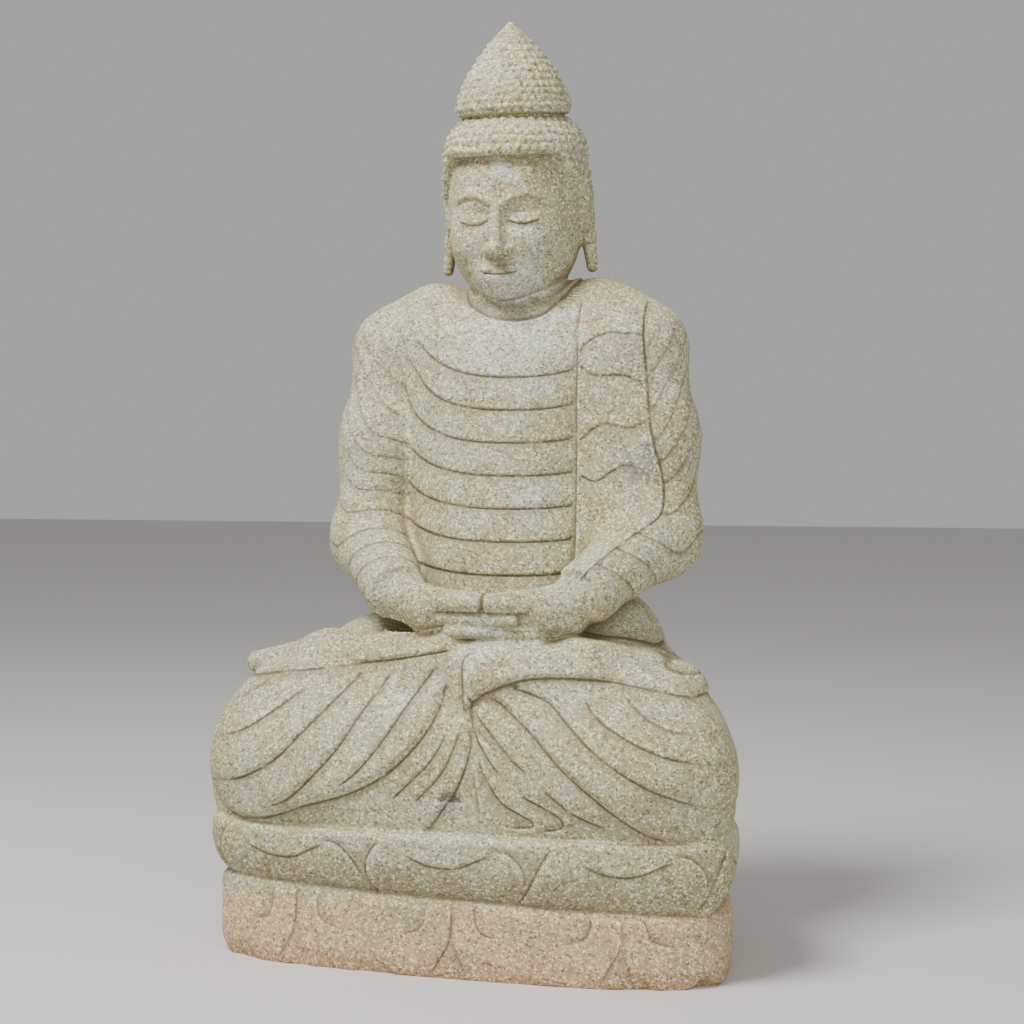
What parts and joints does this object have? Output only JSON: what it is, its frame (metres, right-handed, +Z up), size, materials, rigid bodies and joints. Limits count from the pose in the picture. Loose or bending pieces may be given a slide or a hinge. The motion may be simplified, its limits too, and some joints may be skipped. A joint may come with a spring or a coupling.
{
  "type": "buddha garden statue",
  "caption": "Seated meditating figure in a draped robe, hands in the lap, on a double lotus base, carved from one block of grey granite.",
  "frame": {"origin": "middle of the flat underside of the base", "axes": "+Z up through the pointed crown, the figure looks along -Y, its left arm is on +X"},
  "size_m": [0.8509, 0.5681, 1.4872],
  "materials": {
    "stone": "matte"
  },
  "bodies": {
    "root": {"buddha_statue": "stone"}
  },
  "joints": []
}
